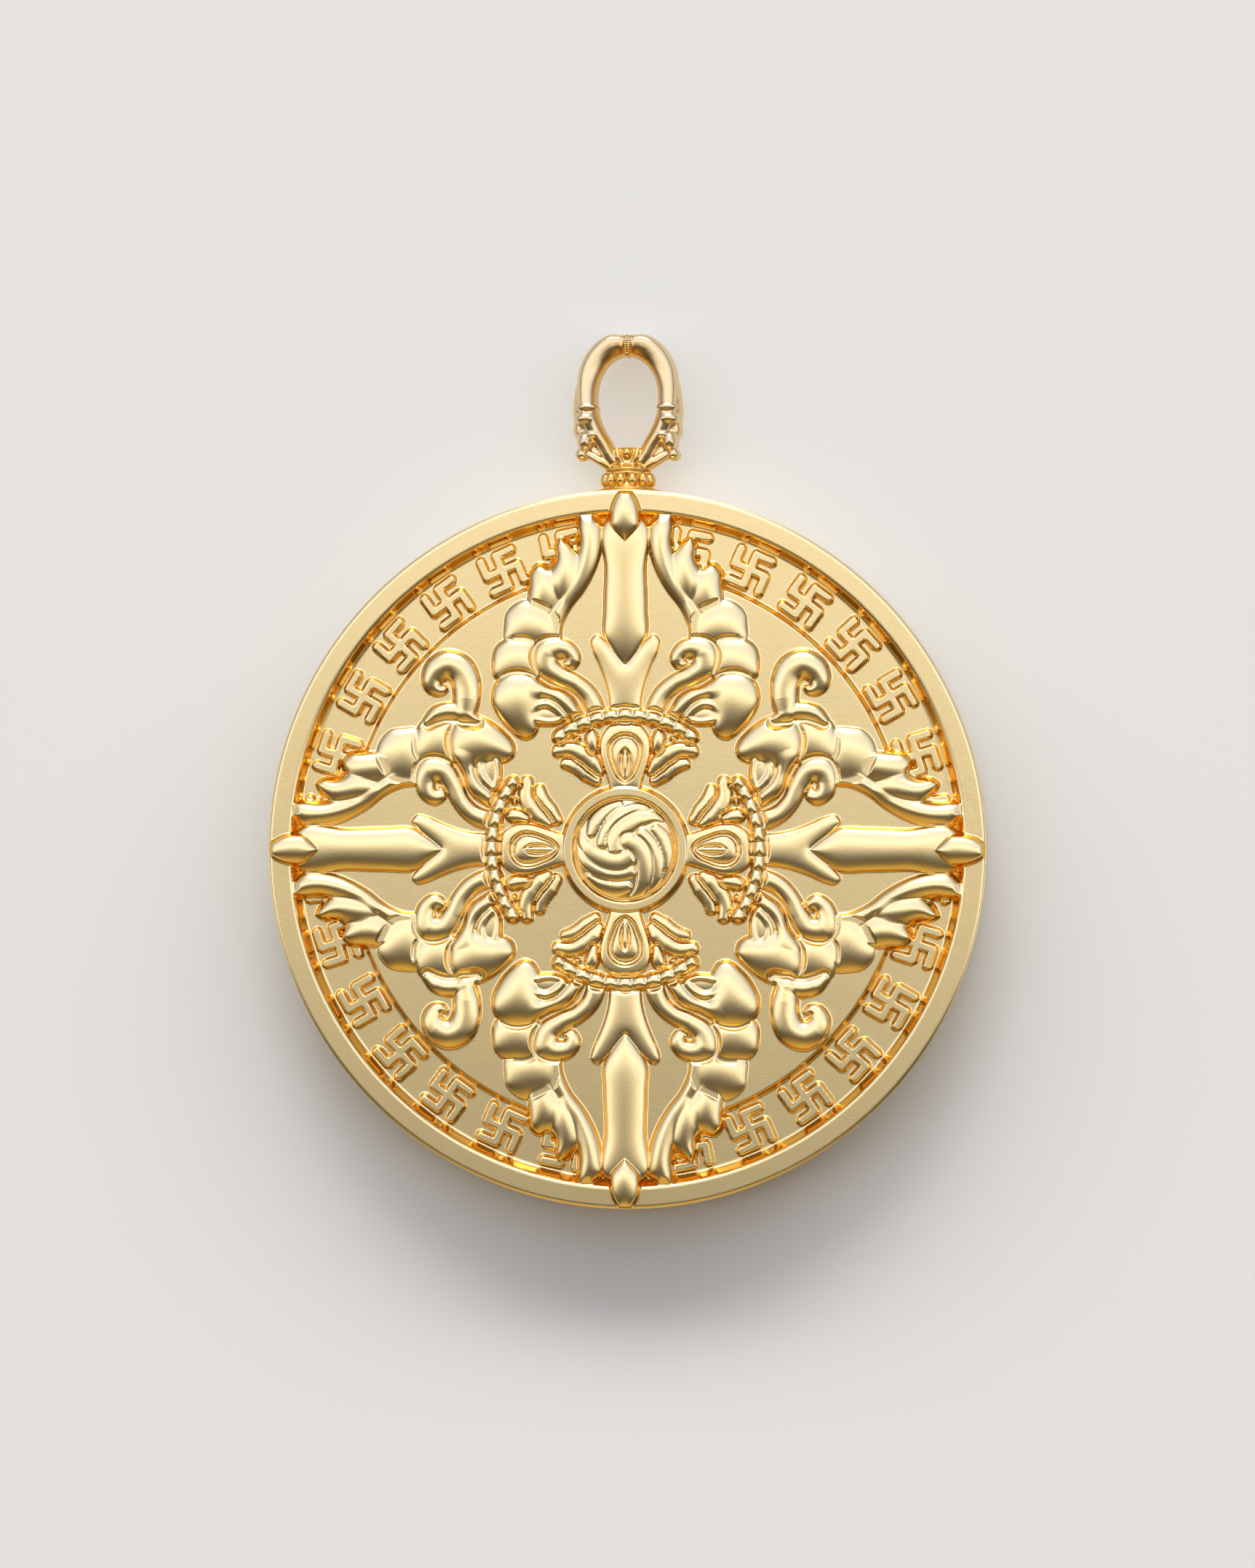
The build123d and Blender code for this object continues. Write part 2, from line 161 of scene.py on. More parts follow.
class Relief:
    """Height above the field at a set of points, built up lump by lump."""

    def __init__(self, x, y, ground=-1.0):
        self.x, self.y = x, y
        self.h = np.full(len(x), ground)

    def add(self, rows, height, blend, depth, lip=None, undercut=1.5):
        """Lay heights over the rows. With a lip, what is there already falls away towards the lump."""
        now = self.h[rows]
        if lip is not None:
            now = np.minimum(now, lip + undercut * np.maximum(-depth - LIP_REACH, 0))
        self.h[rows] = highest(now, height, blend)

    def lump(self, outline, height, power=0.5, blend=CREASE, lip=None, undercut=1.5, base=0.0):
        """Swelling inside a smooth outline. power 0.5 gives a round section, less a flatter top."""
        line = smooth_line(outline, closed=True)
        rows = near_rows(self.x, self.y, line, SKIRT + 0.1)
        depth = depth_inside(line, self.x[rows], self.y[rows])
        low, high = line.min(axis=0), line.max(axis=0)
        gx, gy = np.meshgrid(np.linspace(low[0], high[0], 30), np.linspace(low[1], high[1], 30))
        crown = depth_inside(line, gx.ravel(), gy.ravel()).max()
        inside = np.clip(depth / crown, 0, 1) ** power
        rise = base + height * inside + STEEP * np.clip(depth, -SKIRT, 0)
        self.add(rows, rise, blend, depth, lip, undercut)

    def tube(self, spine, height, power=0.5, blend=CREASE, lip=None, undercut=1.5):
        """Rounded ridge along a spine of rows: two coordinates and the half width there."""
        line, half = along_spine(spine)
        rows = near_rows(self.x, self.y, line, half.max() + SKIRT)
        x, y = self.x[rows], self.y[rows]
        rise = np.full(len(rows), NOWHERE)
        depth = np.full(len(rows), NOWHERE)
        for k in range(len(line) - 1):
            start, along = line[k], line[k + 1] - line[k]
            t = np.clip(((x - start[0]) * along[0] + (y - start[1]) * along[1]) / (along @ along), 0, 1)
            off = np.hypot(x - start[0] - t * along[0], y - start[1] - t * along[1])
            width = half[k] + t * (half[k + 1] - half[k])
            share = off / width
            tall = (width / half.max()) ** 0.5
            inside = tall * height * np.clip(1 - share**2, 0, 1) ** power
            rise = np.maximum(rise, inside - STEEP * np.clip(off - width, 0, SKIRT))
            depth = np.maximum(depth, width - off)
        self.add(rows, rise, blend, depth, lip, undercut)

    def lay(self, heights, lip):
        """Lay a ready relief on deep ground over what is there, which falls away towards it."""
        rows = np.flatnonzero(heights > DEEP_GROUND + SKIRT)
        self.add(rows, heights[rows], CREASE, heights[rows] / STEEP, lip, 1.2)

    def cut(self, outline, floor, wall=0.12):
        """Pocket inside an outline, down to a floor."""
        line = smooth_line(outline, closed=True)
        rows = near_rows(self.x, self.y, line, 0.1)
        depth = depth_inside(line, self.x[rows], self.y[rows])
        lowered = np.minimum(self.h[rows], floor)
        share = eased(depth / wall)
        self.h[rows] = self.h[rows] * (1 - share) + lowered * share


# One half of an arm, in rows of s sideways from its axis and r outwards from the hub: the middle prong with
# its forked foot and its bud at the rim. A third number in a row is the half width of a ridge there.
PRONG = [(0, 9.15, "sharp"), (0.62, 9.95), (1.06, 10.7), (1.08, 12.0), (1.02, 14.0), (0.98, 16.4),
         (0, 16.9)]
FORK = [(0, 9.25, "sharp"), (0.5, 9.85), (1.1, 10.5), (1.42, 10.72), (1.7, 10.5), (1.62, 10.0),
        (1.32, 9.3), (1.05, 8.6), (0.84, 7.8), (0.74, 6.6, "sharp")]
BUD = [(0, 15.45, "sharp"), (0.4, 15.85), (0.68, 16.2), (0.72, 16.6), (0.66, 17.1), (0.48, 17.55),
       (0.26, 17.86, "sharp")]
# Flames beside the prong: the lobes, and the low body under them
FLAME_LOBES = [
    [(3.88, 14.05), (4.36, 14.2), (4.68, 13.9), (4.8, 13.2), (4.82, 12.2), (4.4, 11.5), (3.7, 12.0),
     (3.3, 13.0), (3.5, 13.75)],
    [(2.45, 14.8), (2.8, 15.2), (3.28, 15.56, "sharp"), (3.44, 15.2), (3.43, 14.7), (3.56, 14.25),
     (3.75, 13.85), (3.6, 12.8), (3.0, 12.3), (2.5, 13.1), (2.35, 14.1)],
    [(1.45, 14.2), (1.25, 14.9), (1.17, 15.6), (1.22, 16.2), (1.62, 16.6), (1.82, 16.95), (2.15, 16.95),
     (2.32, 16.4), (2.3, 15.4), (2.4, 14.7), (2.7, 13.6), (3.3, 12.5), (3.9, 11.4), (3.7, 10.3),
     (3.36, 10.3), (3.15, 11.2), (2.75, 12.1), (2.12, 12.95), (1.78, 13.5)],
]
FLAMES = [(3.38, 10.2), (3.18, 11.2), (2.78, 12.1), (2.13, 12.9), (1.76, 13.5), (1.43, 14.2), (1.22, 14.9),
          (1.14, 15.6), (1.2, 16.2), (1.6, 16.6), (1.8, 16.95), (2.17, 16.95), (2.34, 16.4), (2.34, 15.4),
          (2.42, 14.85, "sharp"), (2.8, 15.25), (3.3, 15.6, "sharp"), (3.47, 15.2), (3.46, 14.7),
          (3.6, 14.3), (3.92, 14.0, "sharp"), (4.4, 14.24), (4.72, 13.95), (4.85, 13.2), (4.9, 12.2),
          (4.9, 11.0), (4.2, 10.2)]
FLAME_END_R, FLAME_END_H = 16.7, 0.12  # where the flames run into the rim, and how high they are there
# Flat bed that carries an arm across the sunk band
ARM_BED = [(0, 12.5), (2.0, 12.5), (1.85, 15.2), (1.72, 16.4, "sharp"), (1.72, 16.6, "sharp"),
           (1.22, 16.26, "sharp"), (0.95, 16.5, "sharp"), (0.9, 16.9, "sharp")]
BED_WALL = 0.1
# Clouds, from the flames in to the petals, and the scroll between them
FAR_CLOUD = [(4.9, 12.5), (5.5, 12.3), (5.98, 11.8), (6.08, 11.2), (6.05, 10.5), (5.4, 10.1), (4.2, 10.0),
             (3.4, 10.3), (3.35, 11.2), (3.6, 11.9), (4.2, 12.2)]
MIDDLE_CLOUD = [(6.6, 8.7), (6.7, 9.5), (6.5, 10.15), (6.0, 10.5), (5.4, 10.6), (4.7, 10.5), (4.2, 10.0),
                (4.2, 8.9), (4.8, 8.2), (5.8, 8.2)]
NEAR_CLOUD = [(6.72, 7.45), (6.7, 7.95), (6.4, 8.5), (5.9, 8.8), (5.25, 8.87), (4.65, 8.7), (4.2, 8.3),
              (3.95, 7.75), (4.2, 7.15), (4.36, 6.7), (4.3, 6.3), (4.42, 5.92), (4.7, 5.64), (5.08, 5.54),
              (5.45, 5.7), (5.8, 6.0), (6.15, 6.38), (6.5, 6.9)]
CLOUD_TAIL = [(5.0, 8.8), (4.65, 8.7), (4.2, 8.4), (3.75, 8.14), (3.15, 7.97), (2.65, 7.65), (2.3, 7.1),
              (1.9, 6.5, "sharp"), (2.6, 6.5), (2.95, 6.7), (3.3, 7.1), (3.7, 7.4), (4.2, 7.5), (4.8, 7.3)]
TAIL_FOLD = [(4.7, 6.95, 0.22), (4.4, 7.18, 0.27), (3.95, 7.28, 0.29), (3.5, 7.08, 0.29), (3.1, 6.7, 0.25)]
TAIL_FLOOR = [(4.75, 6.9), (4.4, 7.2), (3.9, 7.3), (3.3, 7.0), (2.9, 6.55), (3.4, 6.28), (3.8, 6.22),
              (4.15, 6.24), (4.5, 6.2), (4.9, 6.4)]
TAIL_LIP = [(4.45, 6.5, 0.18), (4.1, 6.42, 0.18), (3.6, 6.4, 0.17), (3.1, 6.56, 0.15)]
SCROLL = [(1.42, 6.6, 0.46), (1.52, 7.1, 0.46), (1.8, 7.7, 0.43), (2.42, 8.27, 0.42), (3.3, 8.7, 0.46),
          (3.92, 9.2, 0.55), (3.95, 9.85, 0.62), (3.4, 10.08, 0.5), (2.86, 9.93, 0.42), (2.62, 9.55, 0.37),
          (2.74, 9.27, 0.25), (3.0, 9.3, 0.13)]

# Half of a petal group
TEARDROP = [(0, 6.38), (0.75, 6.18), (1.18, 5.6), (1.24, 4.9), (1.05, 4.1), (0.82, 3.4),
            (0.72, 3.0, "sharp")]
TEARDROP_GROOVE = [(0, 5.86), (0.55, 5.7), (0.9, 5.25), (0.93, 4.8), (0.72, 4.1), (0.4, 3.5), (0, 3.28)]
TEARDROP_DOME = [(0, 5.58), (0.4, 5.48), (0.64, 5.15), (0.66, 4.8), (0.5, 4.2), (0.25, 3.68), (0, 3.5)]
TEARDROP_SLOT = [(0, 5.12), (0.22, 4.95), (0.34, 4.45), (0.26, 3.9), (0, 3.5)]
SLOT_BEAD = [(0, 4.98, 0.1), (0, 4.6, 0.17), (0, 4.1, 0.16), (0, 3.68, 0.09)]
BUDLET = [(1.7, 6.05), (2.02, 5.75), (1.95, 5.2), (1.6, 4.75), (1.35, 4.85), (1.28, 5.4), (1.42, 5.85)]
UPPER_LEAF = [(3.38, 4.94, 0.3), (2.7, 5.0, 0.35), (2.1, 4.74, 0.4), (1.6, 4.3, 0.36), (1.3, 3.9, 0.22)]
LOWER_LEAF = [(3.02, 4.3, 0.24), (2.5, 4.16, 0.33), (1.95, 3.8, 0.38), (1.5, 3.47, 0.28)]
TINY_BEAD = [(2.36, 5.56, 0.12), (2.5, 5.56, 0.12)]
BEAD_ARC_CENTRE, BEAD_ARC_R, BEAD_ARC_HALF = 1.0, 5.72, math.radians(36)
BEADS, BEAD_HALF = 11, 0.33  # beads in an arc, and their half width
CORD_H, BEAD_H = 0.15, 0.25  # height between the beads, and what a bead adds

# Curl between two arms, in the quarter with both coordinates positive
CURL = [(8.05, 6.9, 0.55), (7.97, 7.6, 0.69), (8.0, 8.35, 0.72), (8.3, 9.0, 0.74), (8.9, 9.27, 0.72),
        (9.45, 9.02, 0.66), (9.72, 8.5, 0.52), (9.6, 8.13, 0.4), (9.32, 7.98, 0.28), (9.1, 8.06, 0.16)]
CURL_LEAF = [(9.95, 6.42, 0.24), (9.45, 6.8, 0.42), (8.75, 6.93, 0.46), (8.1, 6.78, 0.42),
             (7.5, 6.52, 0.22)]

# Hub: three strands of the whirl, of which there are three sets
HUB_RING_OUT, HUB_RING_IN, HUB_DOME_R = 3.22, 2.68, 2.5
HUB_OUT_WALL, HUB_IN_WALL = 0.13, 0.14  # widths of the ring's sloping walls
HUB_GROOVE_H = 0.1
HUB_H, HUB_DOME_H, STRAND_H = 0.36, 0.42, 0.12
STRANDS = [
    [(-0.45, -0.02, 0.4), (-0.46, 0.4, 0.39), (-0.24, 0.86, 0.38), (0.22, 1.26, 0.37), (0.9, 1.58, 0.33),
     (1.55, 1.62, 0.2), (2.1, 1.42, 0.08)],
    [(-1.14, 0.32, 0.28), (-0.9, 0.95, 0.34), (-0.35, 1.58, 0.36), (0.4, 2.0, 0.3), (1.1, 2.12, 0.16)],
    [(-1.68, 0.84, 0.24), (-1.5, 1.35, 0.34), (-1.0, 1.88, 0.34), (-0.3, 2.24, 0.22)],
]


def mirrored(rows):
    """Closed outline of both sides from the rows of one, whose ends lie on the axis or are corners."""
    inner = [row for row in rows if row[0] > 0]
    return rows + [(-row[0],) + tuple(row[1:]) for row in reversed(inner)]


def turned_profile(radius):
    """Height of the plain struck plate: field, sunk band, rim with a rounded edge."""
    inwards = eased((BAND_IN_R + WALL_SOFT - radius) / (BAND_IN_R - FIELD_R + 2 * WALL_SOFT))
    outwards = eased((radius - BAND_OUT_R + WALL_SOFT) / (RIM_IN_R - BAND_OUT_R + 2 * WALL_SOFT))
    edge = np.clip((radius - PLATE_R - RIM_OVER) / RIM_ROUND + 1, 0, 1)
    rim = BAND_Z + (RIM_Z - BAND_Z) * outwards - RIM_DROP * (1 - np.sqrt(1 - edge**2))
    return np.where(radius < BAND_MID_R, BAND_Z + (FIELD_Z - BAND_Z) * inwards, rim)


def arm_relief(s, r):
    """Relief of one arm and its petal group, from hub to rim."""
    relief = Relief(np.abs(s), r)
    relief.lump(FLAMES, 0.26, 0.6)
    for lobe in FLAME_LOBES:
        relief.lump(lobe, 0.4, 0.65, blend=0.2)
    sinking, plunging = 0.6, 2.0
    slope = np.where(r < FLAME_END_R, sinking, plunging)
    relief.h = np.minimum(relief.h, FLAME_END_H + slope * (FLAME_END_R - r))
    relief.lump(FAR_CLOUD, 0.36, 0.65, lip=0.24, undercut=1.2)
    relief.lump(MIDDLE_CLOUD, 0.42, 0.55, lip=0.22, undercut=1.2)
    relief.tube(SCROLL, 0.36, 0.4, lip=0.16)
    cloud = Relief(relief.x, relief.y, DEEP_GROUND)
    cloud.lump(TAIL_FLOOR, 0.34, 0.2)
    cloud.tube(TAIL_LIP, 0.38, 0.5, blend=0.15)
    cloud.tube(TAIL_FOLD, 0.43, 0.5, blend=0.15)
    cloud.lump(CLOUD_TAIL, 0.48, 0.5, blend=0.15)
    cloud.lump(NEAR_CLOUD, 0.56, 0.5, blend=0.15)
    relief.lay(cloud.h, 0.2)
    relief.lump(mirrored(FORK), 0.32, 0.3, lip=0.14)
    relief.lump(mirrored(PRONG), 0.44, 0.36, blend=0.1)
    relief.lump(mirrored(BUD), 0.46, 0.5, base=0.38)
    petal_relief(relief)
    return relief.h


def petal_relief(relief):
    """Grooved teardrop, buds and leaves behind a beaded arc."""
    relief.tube(LOWER_LEAF, 0.3, 0.22)
    relief.tube(UPPER_LEAF, 0.34, 0.24, lip=0.1)
    relief.lump(BUDLET, 0.38, 0.45, lip=0.12)
    relief.tube(TINY_BEAD, 0.25, 0.5)
    relief.lump(mirrored(TEARDROP), 0.34, 0.1, lip=0.1)
    relief.cut(mirrored(TEARDROP_GROOVE), 0.1)
    relief.lump(mirrored(TEARDROP_DOME), 0.3, 0.22, lip=0.1)
    relief.cut(mirrored(TEARDROP_SLOT), 0.12, wall=0.1)
    relief.tube(SLOT_BEAD, 0.28, 0.4)
    beaded_arc(relief)


def beaded_arc(relief):
    """Cord of beads along an arc across the arm, beyond the petals, rounded off at both ends."""
    angle = np.arctan2(relief.x, relief.y - BEAD_ARC_CENTRE)
    off = np.hypot(relief.x, relief.y - BEAD_ARC_CENTRE) - BEAD_ARC_R
    past_end = np.maximum(angle - BEAD_ARC_HALF, 0) * BEAD_ARC_R
    rows = np.flatnonzero((np.abs(off) < 1.0) & (past_end < 1.0) & (relief.y > 4.5))
    place = angle[rows] / BEAD_ARC_HALF * (BEADS - 1) / 2
    from_bead = np.abs(place - np.round(place))
    bead = np.sqrt(np.clip(1 - (1.75 * from_bead) ** 2, 0, 1))
    width = BEAD_HALF * (0.86 + 0.2 * bead)
    share = np.hypot(off[rows], past_end[rows]) / width
    rise = (CORD_H + BEAD_H * bead) * np.clip(1 - share**2, 0, 1) ** 0.45
    rise -= STEEP * np.clip(share - 1, 0, 1.5) * width
    relief.add(rows, rise, CREASE, (1 - share) * width, lip=0.12, undercut=1.4)


def curl_relief(x, y, h):
    """Curls between the arms, each with its leaf in one body, laid over what is there."""
    curls = Relief(np.abs(x), np.abs(y), DEEP_GROUND)
    curls.tube(CURL_LEAF, 0.34, 0.5)
    curls.tube(CURL, 0.44, 0.5, blend=0.12)
    laid = Relief(x, y)
    laid.h = h
    laid.lay(curls.h, 0.14)
    return laid.h


def hub_relief(x, y, h):
    """Ring, groove and dome with the three-fold whirl."""
    radius = np.hypot(x, y)
    ring = HUB_H * np.clip((HUB_RING_OUT - radius) / HUB_OUT_WALL, -1, 1)
    h = highest(h, np.where(radius < HUB_RING_OUT + 0.1, ring, -1), CREASE)
    inner = eased((HUB_RING_IN - radius) / HUB_IN_WALL)
    swell = np.clip(1 - (radius / HUB_DOME_R) ** 2, 0, 1) ** 0.4
    dome = HUB_GROOVE_H + (HUB_DOME_H - HUB_GROOVE_H) * swell
    strands = Relief(x, y)
    for k in range(3):
        turn = 2 * math.pi * k / 3
        c, s = math.cos(turn), math.sin(turn)
        for spine in reversed(STRANDS):
            turned = [(c * px - s * py, s * px + c * py, half) for px, py, half in spine]
            strands.tube(turned, STRAND_H, 0.34, blend=0.03, lip=0.07, undercut=0.8)
    inside = eased((HUB_DOME_R - radius) / 0.1)
    dome = highest(dome, dome + strands.h * inside, 0.03)
    return h * (1 - inner) + dome * inner


def manji_relief(x, y):
    """Height of the band's ornaments above its floor, at points in the band."""
    radius, angle = np.hypot(x, y), np.arctan2(y, x)
    step = 2 * math.pi / MANJI_COUNT
    local = np.mod(angle, step) - step / 2
    u, v = -radius * np.sin(local), radius * np.cos(local) - BAND_MID_R
    a = MANJI_ARM
    cross = [((0, -a), (0, a)), ((-a, 0), (a, 0))]
    hooks = [((0, a), (a, a)), ((a, 0), (a, -a)), ((0, -a), (-a, -a)), ((-a, 0), (-a, a))]
    nearest = np.full(len(x), np.inf)
    for (px, py), (qx, qy) in cross + hooks:
        dx, dy = qx - px, qy - py
        t = np.clip(((u - px) * dx + (v - py) * dy) / (dx * dx + dy * dy), 0, 1)
        nearest = np.minimum(nearest, np.hypot(u - px - t * dx, v - py - t * dy))
    return MANJI_H * eased((MANJI_HALF - nearest) / (MANJI_HALF - MANJI_TOP))


def turned_about(s, r, turn):
    """Places on the plate of points beside and along an arm that stands at a turn about the axis."""
    return s * math.cos(turn) - r * math.sin(turn), s * math.sin(turn) + r * math.cos(turn)


def relief_heights(s, r, turn):
    """Height of the struck face at points of a wedge, whose arm stands at a turn about the axis."""
    x, y = turned_about(s, r, turn)
    radius = np.hypot(s, r)
    h = curl_relief(x, y, arm_relief(s, r))
    h = hub_relief(x, y, h)
    base = turned_profile(radius)
    in_band = np.flatnonzero((radius > BAND_IN_R - 0.3) & (radius < BAND_OUT_R + 0.3))
    base[in_band] += manji_relief(x[in_band], y[in_band])
    bed = np.flatnonzero((r > 13) & (np.abs(s) < 2.5))
    outline = smooth_line(mirrored(ARM_BED), closed=True)
    share = eased(depth_inside(outline, s[bed], r[bed]) / BED_WALL)
    base[bed] += np.maximum(FIELD_Z - base[bed], 0) * share
    z = highest(base, FIELD_Z + h, FOOT)
    return np.minimum(z, RELIEF_TOP - HAIR)


def wedge_points():
    """Points of a quarter of the plate about its arm, ring by ring from the middle outwards."""
    ring = np.concatenate([np.full(2 * i + 1, i) for i in range(RINGS + 1)])
    place = np.concatenate([np.arange(-i, i + 1) for i in range(RINGS + 1)])
    angle = np.where(ring > 0, place / np.maximum(ring, 1), 0) * math.pi / 4
    radius = PLATE_R * ring / RINGS
    radius = radius + RIM_OVER * eased((radius - EVEN_R) / (PLATE_R - EVEN_R))
    return radius * np.sin(angle), radius * np.cos(angle)


def wedge_edges():
    """Numbers of the points along a wedge's two straight edges, from the middle outwards."""
    ring = np.arange(RINGS + 1)
    return ring**2, ring**2 + 2 * ring


def wedge_faces(z):
    """Triangles between a wedge's rings, facing up, each four-sided cell split where it bends least."""
    start = np.arange(RINGS + 2) ** 2
    faces = []
    for i in range(1, RINGS + 1):
        inner = start[i - 1] + np.arange(2 * i - 1)
        outer = start[i] + np.arange(2 * i + 1)
        faces.append([[inner[0], outer[1], outer[0]], [inner[-1], outer[-1], outer[-2]]])
        a, b, c, d = inner[:-1], inner[1:], outer[2:-1], outer[1:-2]
        split = (np.abs(z[a] - z[c]) < np.abs(z[b] - z[d]))[:, None]
        faces.append(np.where(split, np.column_stack([a, b, c]), np.column_stack([a, b, d])))
        faces.append(np.where(split, np.column_stack([a, c, d]), np.column_stack([b, c, d])))
    return np.vstack(faces)


def corner_sums(vertices, faces):
    """For each vertex, the sum of its faces' normals, each as long as the face is large."""
    a, b, c = (vertices[faces[:, k]] for k in range(3))
    across = np.cross(b - a, c - a)
    sums = np.zeros_like(vertices)
    for k in range(3):
        for axis in range(3):
            sums[:, axis] += np.bincount(faces[:, k], across[:, axis], len(vertices))
    return sums


def mesh_object(name, vertices, faces, material, smooth=True):
    """Piece from vertices in mm."""
    mesh = bpy.data.meshes.new(name)
    mesh.from_pydata((np.asarray(vertices) * MM).tolist(), [], [list(map(int, face)) for face in faces])
    if smooth:
        mesh.shade_smooth()
    else:
        mesh.shade_flat()
    mesh.materials.append(material)
    piece = bpy.data.objects.new(name, mesh)
    bpy.context.scene.collection.objects.link(piece)
    return piece


def wedge_tops():
    """Vertices, triangles and vertex normals of the struck face's four wedges, matched at their seams."""
    s, r = wedge_points()
    left, right = wedge_edges()
    tops = []
    for turn in (0, math.pi / 2, math.pi, 3 * math.pi / 2):
        z = relief_heights(s, r, turn)
        top = np.column_stack([*turned_about(s, r, turn), z])
        faces = wedge_faces(z)
        tops.append([top, faces, corner_sums(top, faces)])
    for k in range(4):
        here, there = tops[k][2], tops[(k + 1) % 4][2]
        seam = here[left] + there[right]
        here[left], there[right] = seam, seam
    middle = sum(sums[0] for *_, sums in tops)
    for *_, sums in tops:
        sums[0] = middle
        sums /= np.linalg.norm(sums, axis=1)[:, None]
    return tops


def face_wedge(name, top, faces, normals, material):
    """Quarter of the struck plate with its walls and flat underside, one closed body."""
    left, right = wedge_edges()
    rim = np.arange(left[-1], len(top))
    walls = []
    vertices = [top]

    def strip(upper, lower):
        walls.append(np.column_stack([upper[:-1], lower[:-1], lower[1:]]))
        walls.append(np.column_stack([upper[:-1], lower[1:], upper[1:]]))

    def level(points, heights):
        first = sum(len(part) for part in vertices)
        vertices.append(np.column_stack([points, np.broadcast_to(heights, len(points))]))
        return np.arange(first, first + len(points))

    out = top[rim]
    plain = out[:, :2] * (PLATE_R / np.hypot(out[:, 0], out[:, 1]))[:, None]
    sill = np.minimum(out[:, 2] - HAIR, CASE_H + LIP_CLEAR)
    lip = level(out[:, :2], sill)
    under = level(plain, sill - HAIR)
    foot = level(plain, PLATE_Z)
    for upper, lower in ((rim, lip), (lip, under), (under, foot)):
        strip(upper[::-1], lower[::-1])
    left_foot = np.append(level(top[left[:-1], :2], PLATE_Z), foot[0])
    right_foot = np.concatenate([left_foot[:1], level(top[right[1:-1], :2], PLATE_Z), foot[-1:]])
    strip(np.append(left[:-1], rim[0])[::-1], left_foot[::-1])
    strip(right, right_foot)
    outline = np.concatenate([left_foot, foot[1:], right_foot[-2:0:-1]])
    middle = foot[len(foot) // 2]
    outline = np.roll(outline, -int(np.flatnonzero(outline == middle)[0]))
    walls.append(np.column_stack([np.full(len(outline) - 2, middle), outline[1:-1], outline[2:]]))
    points, walls = np.vstack(vertices), np.vstack(walls)
    a, b, c = (points[walls[:, k]] for k in range(3))
    flat = np.cross(b - a, c - a)
    flat /= np.linalg.norm(flat, axis=1)[:, None] + 1e-12
    corners = np.vstack([normals[faces].reshape(-1, 3), np.repeat(flat, 3, axis=0)])
    piece = mesh_object(name, points, np.vstack([faces, walls]), material)
    # Share of steepness: it paints steep walls a deeper orange, a painted reflection of the gold they face,
    # and lowers their roughness
    steep = np.zeros(len(points))
    steep[:len(top)] = eased((GENTLE - normals[:, 2]) / GENTLE_TO_STEEP)
    piece.data.attributes.new("steep", "FLOAT", "POINT").data.foreach_set("value", steep)
    piece.data.polygons.foreach_set("use_smooth", np.arange(len(faces) + len(walls)) < len(faces))
    piece.data.normals_split_custom_set(corners)
    return piece


def linear(hex_colour):
    """sRGB hex to the linear values that a shader takes."""
    channels = [int(hex_colour[i:i + 2], 16) / 255 for i in (1, 3, 5)]
    return [c / 12.92 if c <= 0.04045 else ((c + 0.055) / 1.055) ** 2.4 for c in channels] + [1.0]


def node(tree, kind, links=(), **settings):
    """Adds a node. Settings that name an input set it, others set the node's own; links feed its inputs."""
    made = tree.nodes.new(kind)
    for key, value in settings.items():
        name = key.replace("_", " ").title()
        if name in made.inputs:
            made.inputs[name].default_value = value
        else:
            setattr(made, key, value)
    for output, name in links:
        tree.links.new(output, made.inputs[name])
    return made


def ranged(tree, value, low, high, bottom, top):
    """Output that eases from bottom to top as the value goes from low to high."""
    made = node(tree, "ShaderNodeMapRange", [(value, "Value")], interpolation_type="SMOOTHSTEP")
    for name, number in (("From Min", low), ("From Max", high), ("To Min", bottom), ("To Max", top)):
        made.inputs[name].default_value = number
    return made.outputs["Result"]


def computed(tree, operation, *values):
    """Output of a math node on numbers and outputs."""
    made = node(tree, "ShaderNodeMath", operation=operation)
    for k, value in enumerate(values):
        if isinstance(value, (int, float)):
            made.inputs[k].default_value = value
        else:
            tree.links.new(value, made.inputs[k])
    return made.outputs["Value"]


def mixed(tree, share, first, second):
    """Colour from first to second, each a hex or an output, as the share goes from 0 to 1."""
    # Several sockets have the same name, so the ones for colours are reached by their place
    share_in, first_in, second_in, colour_out = 0, 6, 7, 2
    made = node(tree, "ShaderNodeMix", [(share, share_in)], data_type="RGBA")
    for place, colour in ((first_in, first), (second_in, second)):
        if isinstance(colour, str):
            made.inputs[place].default_value = linear(colour)
        else:
            tree.links.new(colour, made.inputs[place])
    return made.outputs[colour_out]


def new_material(name):
    """Material and its emptied node tree."""
    material = bpy.data.materials.new(name)
    material.use_nodes = True
    material.node_tree.nodes.clear()
    return material, material.node_tree


def noise_bump(tree, place, scale, detail, strength, distance, under=None):
    """Normal bumped by noise, on top of another normal where one is given."""
    noise = node(tree, "ShaderNodeTexNoise", [(place, "Vector")], Scale=scale, Detail=detail)
    links = [(noise.outputs["Fac"], "Height")]
    if under is not None:
        links.append((under, "Normal"))
    return node(tree, "ShaderNodeBump", links, Strength=strength, Distance=distance).outputs["Normal"]


